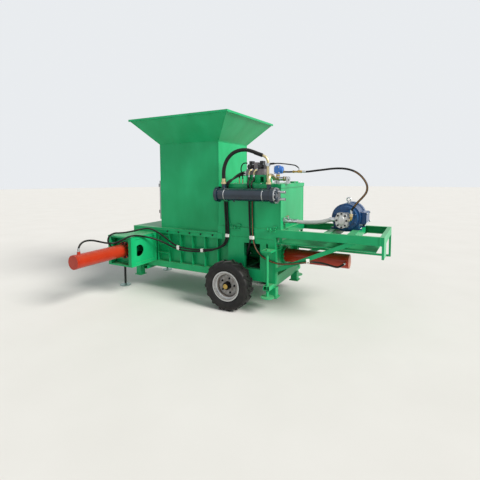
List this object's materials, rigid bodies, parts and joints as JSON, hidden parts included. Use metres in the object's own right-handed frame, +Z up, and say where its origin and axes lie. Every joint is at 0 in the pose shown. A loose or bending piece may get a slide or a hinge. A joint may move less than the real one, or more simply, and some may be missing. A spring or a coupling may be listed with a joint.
{
  "type": "horizontal hydraulic baler",
  "caption": "Towed horizontal baling press with a flared feed hopper, a press ram, a push-out ram, a hydraulic power pack, road wheels and screw jacks.",
  "frame": {"origin": "on the ground, under the middle of the machine's box", "axes": "+X towards the power pack and the towing end, +Z up, -Y towards the side of the push-out ram"},
  "size_m": [4.211, 2.623, 2.751],
  "materials": {
    "green_paint": "gloss",
    "red_paint": "gloss",
    "chromed_rod": "polished",
    "worn_steel": "satin",
    "grey_enamel": "satin",
    "dark_iron": "matt",
    "zinc_steel": "satin",
    "navy_paint": "gloss",
    "blue_paint": "gloss",
    "cast_aluminium": "satin",
    "tyre_rubber": "matt",
    "silver_paint": "satin",
    "black_iron": "satin",
    "bright_steel": "satin",
    "hose_rubber": "satin",
    "clear_hose": "satin"
  },
  "bodies": {
    "frame": {"chamber_floor": "green_paint", "chamber_top": "green_paint", "wall_near": "green_paint", "wall_far": "green_paint", "end_wall_left": "green_paint", "end_wall_right": "green_paint", "side_frame_near": "green_paint", "side_frame_far": "green_paint", "outlet_frame": "green_paint", "eject_housing": "green_paint", "eject_barrel": "red_paint", "press_barrel": "red_paint", "hopper_column": "green_paint", "hopper_flare": "green_paint", "cabinet_box": "grey_enamel", "beam_near": "green_paint", "beam_far": "green_paint", "platform_cross": "green_paint", "tow_frame": "green_paint", "drip_plate": "green_paint", "braces": "green_paint", "tank": "green_paint", "tank_lid": "green_paint", "pedestal": "green_paint", "valve_stack": "dark_iron", "filter": "zinc_steel", "blue_valve": "blue_paint", "cooler": "navy_paint", "cooler_saddles": "green_paint", "motor": "blue_paint", "bell_housing": "blue_paint", "pump": "cast_aluminium", "oil_fittings": "zinc_steel", "return_hose": "hose_rubber", "push_out_hoses": "hose_rubber", "press_hoses": "hose_rubber", "pump_hose": "hose_rubber", "pilot_hose": "hose_rubber", "suction_hose": "clear_hose", "axle": "green_paint", "legs": "green_paint", "cross_tubes": "green_paint", "jack_nuts": "green_paint"},
    "press_ram": {"press_rod": "chromed_rod", "press_platen": "worn_steel"},
    "push_out_ram": {"eject_rod": "chromed_rod", "eject_platen": "worn_steel"},
    "near_wheel": {"near_tyre": "tyre_rubber", "near_rim": "silver_paint", "near_hub": "black_iron"},
    "far_wheel": {"far_tyre": "tyre_rubber", "far_rim": "silver_paint", "far_hub": "black_iron"},
    "bale_door": {"outlet_door": "green_paint"},
    "cabinet_panel": {"cabinet_door": "grey_enamel"},
    "near_left_jack": {"jack_near_left": "bright_steel"},
    "far_left_jack": {"jack_far_left": "bright_steel"},
    "near_right_jack": {"jack_near_right": "green_paint"},
    "far_right_jack": {"jack_far_right": "green_paint"}
  },
  "joints": [
    {"name": "press_stroke", "type": "slide", "parent": "frame", "child": "press_ram", "axis": [-1, 0, 0], "range_m": [0, 1.19]},
    {"name": "push_out_stroke", "type": "slide", "parent": "frame", "child": "push_out_ram", "axis": [0, 1, 0], "range_m": [0, 0.9]},
    {"name": "near_wheel_spin", "type": "hinge", "parent": "frame", "child": "near_wheel", "pos_m": [0.1205, -0.153, 0.35], "axis": [0, 1, 0], "continuous": true},
    {"name": "far_wheel_spin", "type": "hinge", "parent": "frame", "child": "far_wheel", "pos_m": [0.1205, 1.204, 0.35], "axis": [0, 1, 0], "continuous": true},
    {"name": "bale_door_hinge", "type": "hinge", "parent": "frame", "child": "bale_door", "pos_m": [-1.8635, 1.0485, 0.43], "axis": [0, 0, 1], "range_deg": [0, 110]},
    {"name": "cabinet_hinge", "type": "hinge", "parent": "frame", "child": "cabinet_panel", "pos_m": [-1.5135, 0.8255, 1.135], "axis": [0, 0, -1], "range_deg": [0, 120]},
    {"name": "near_left_jack_screw", "type": "slide", "parent": "frame", "child": "near_left_jack", "axis": [0, 0, 1], "range_m": [0, 0.24]},
    {"name": "far_left_jack_screw", "type": "slide", "parent": "frame", "child": "far_left_jack", "axis": [0, 0, 1], "range_m": [0, 0.24]},
    {"name": "near_right_jack_screw", "type": "slide", "parent": "frame", "child": "near_right_jack", "axis": [0, 0, 1], "range_m": [-0.238, 0.08]},
    {"name": "far_right_jack_screw", "type": "slide", "parent": "frame", "child": "far_right_jack", "axis": [0, 0, 1], "range_m": [-0.238, 0.08]}
  ]
}
